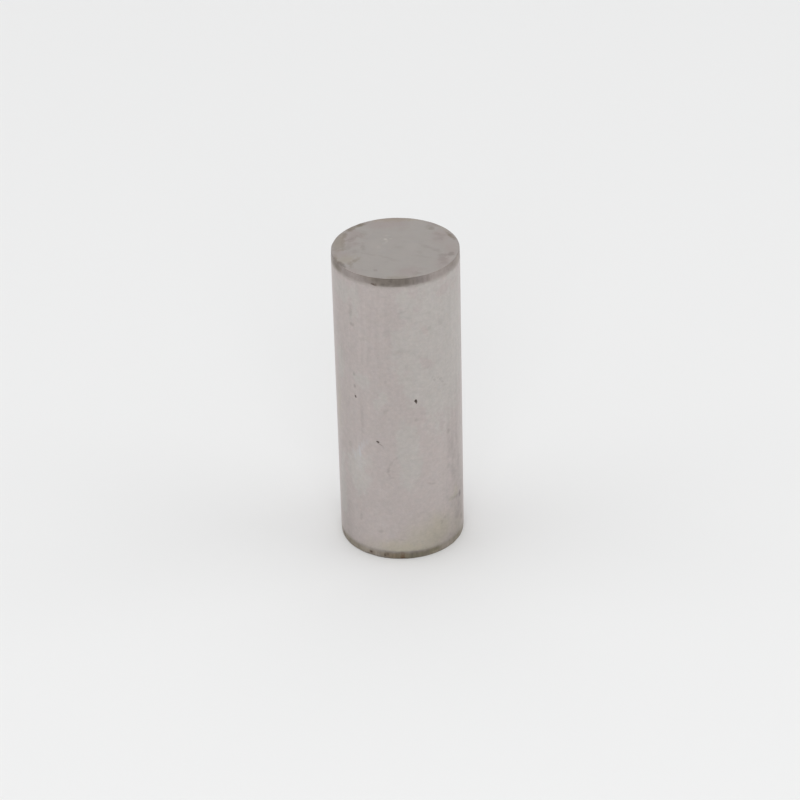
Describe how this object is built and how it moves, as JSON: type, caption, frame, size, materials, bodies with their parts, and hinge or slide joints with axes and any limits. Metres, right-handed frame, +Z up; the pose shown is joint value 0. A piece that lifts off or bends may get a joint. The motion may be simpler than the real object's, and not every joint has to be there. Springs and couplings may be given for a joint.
{
  "type": "crank pin",
  "caption": "Solid cylindrical crank pin of hardened, ground steel, with a short turned lead-in at each flat end; pressed into crank webs to carry a big-end bearing.",
  "frame": {"origin": "centre of the lower end face, the face the pin stands on", "axes": "+Z up along the pin's axis; the pin is round and the same either way up, so X and Y are free"},
  "size_m": [0.02, 0.02, 0.0515],
  "materials": {
    "ground_steel": "satin ground all round, darker as-turned lead-ins, lightly stained end faces"
  },
  "bodies": {
    "root": {"crank_pin": "ground_steel"}
  },
  "joints": []
}
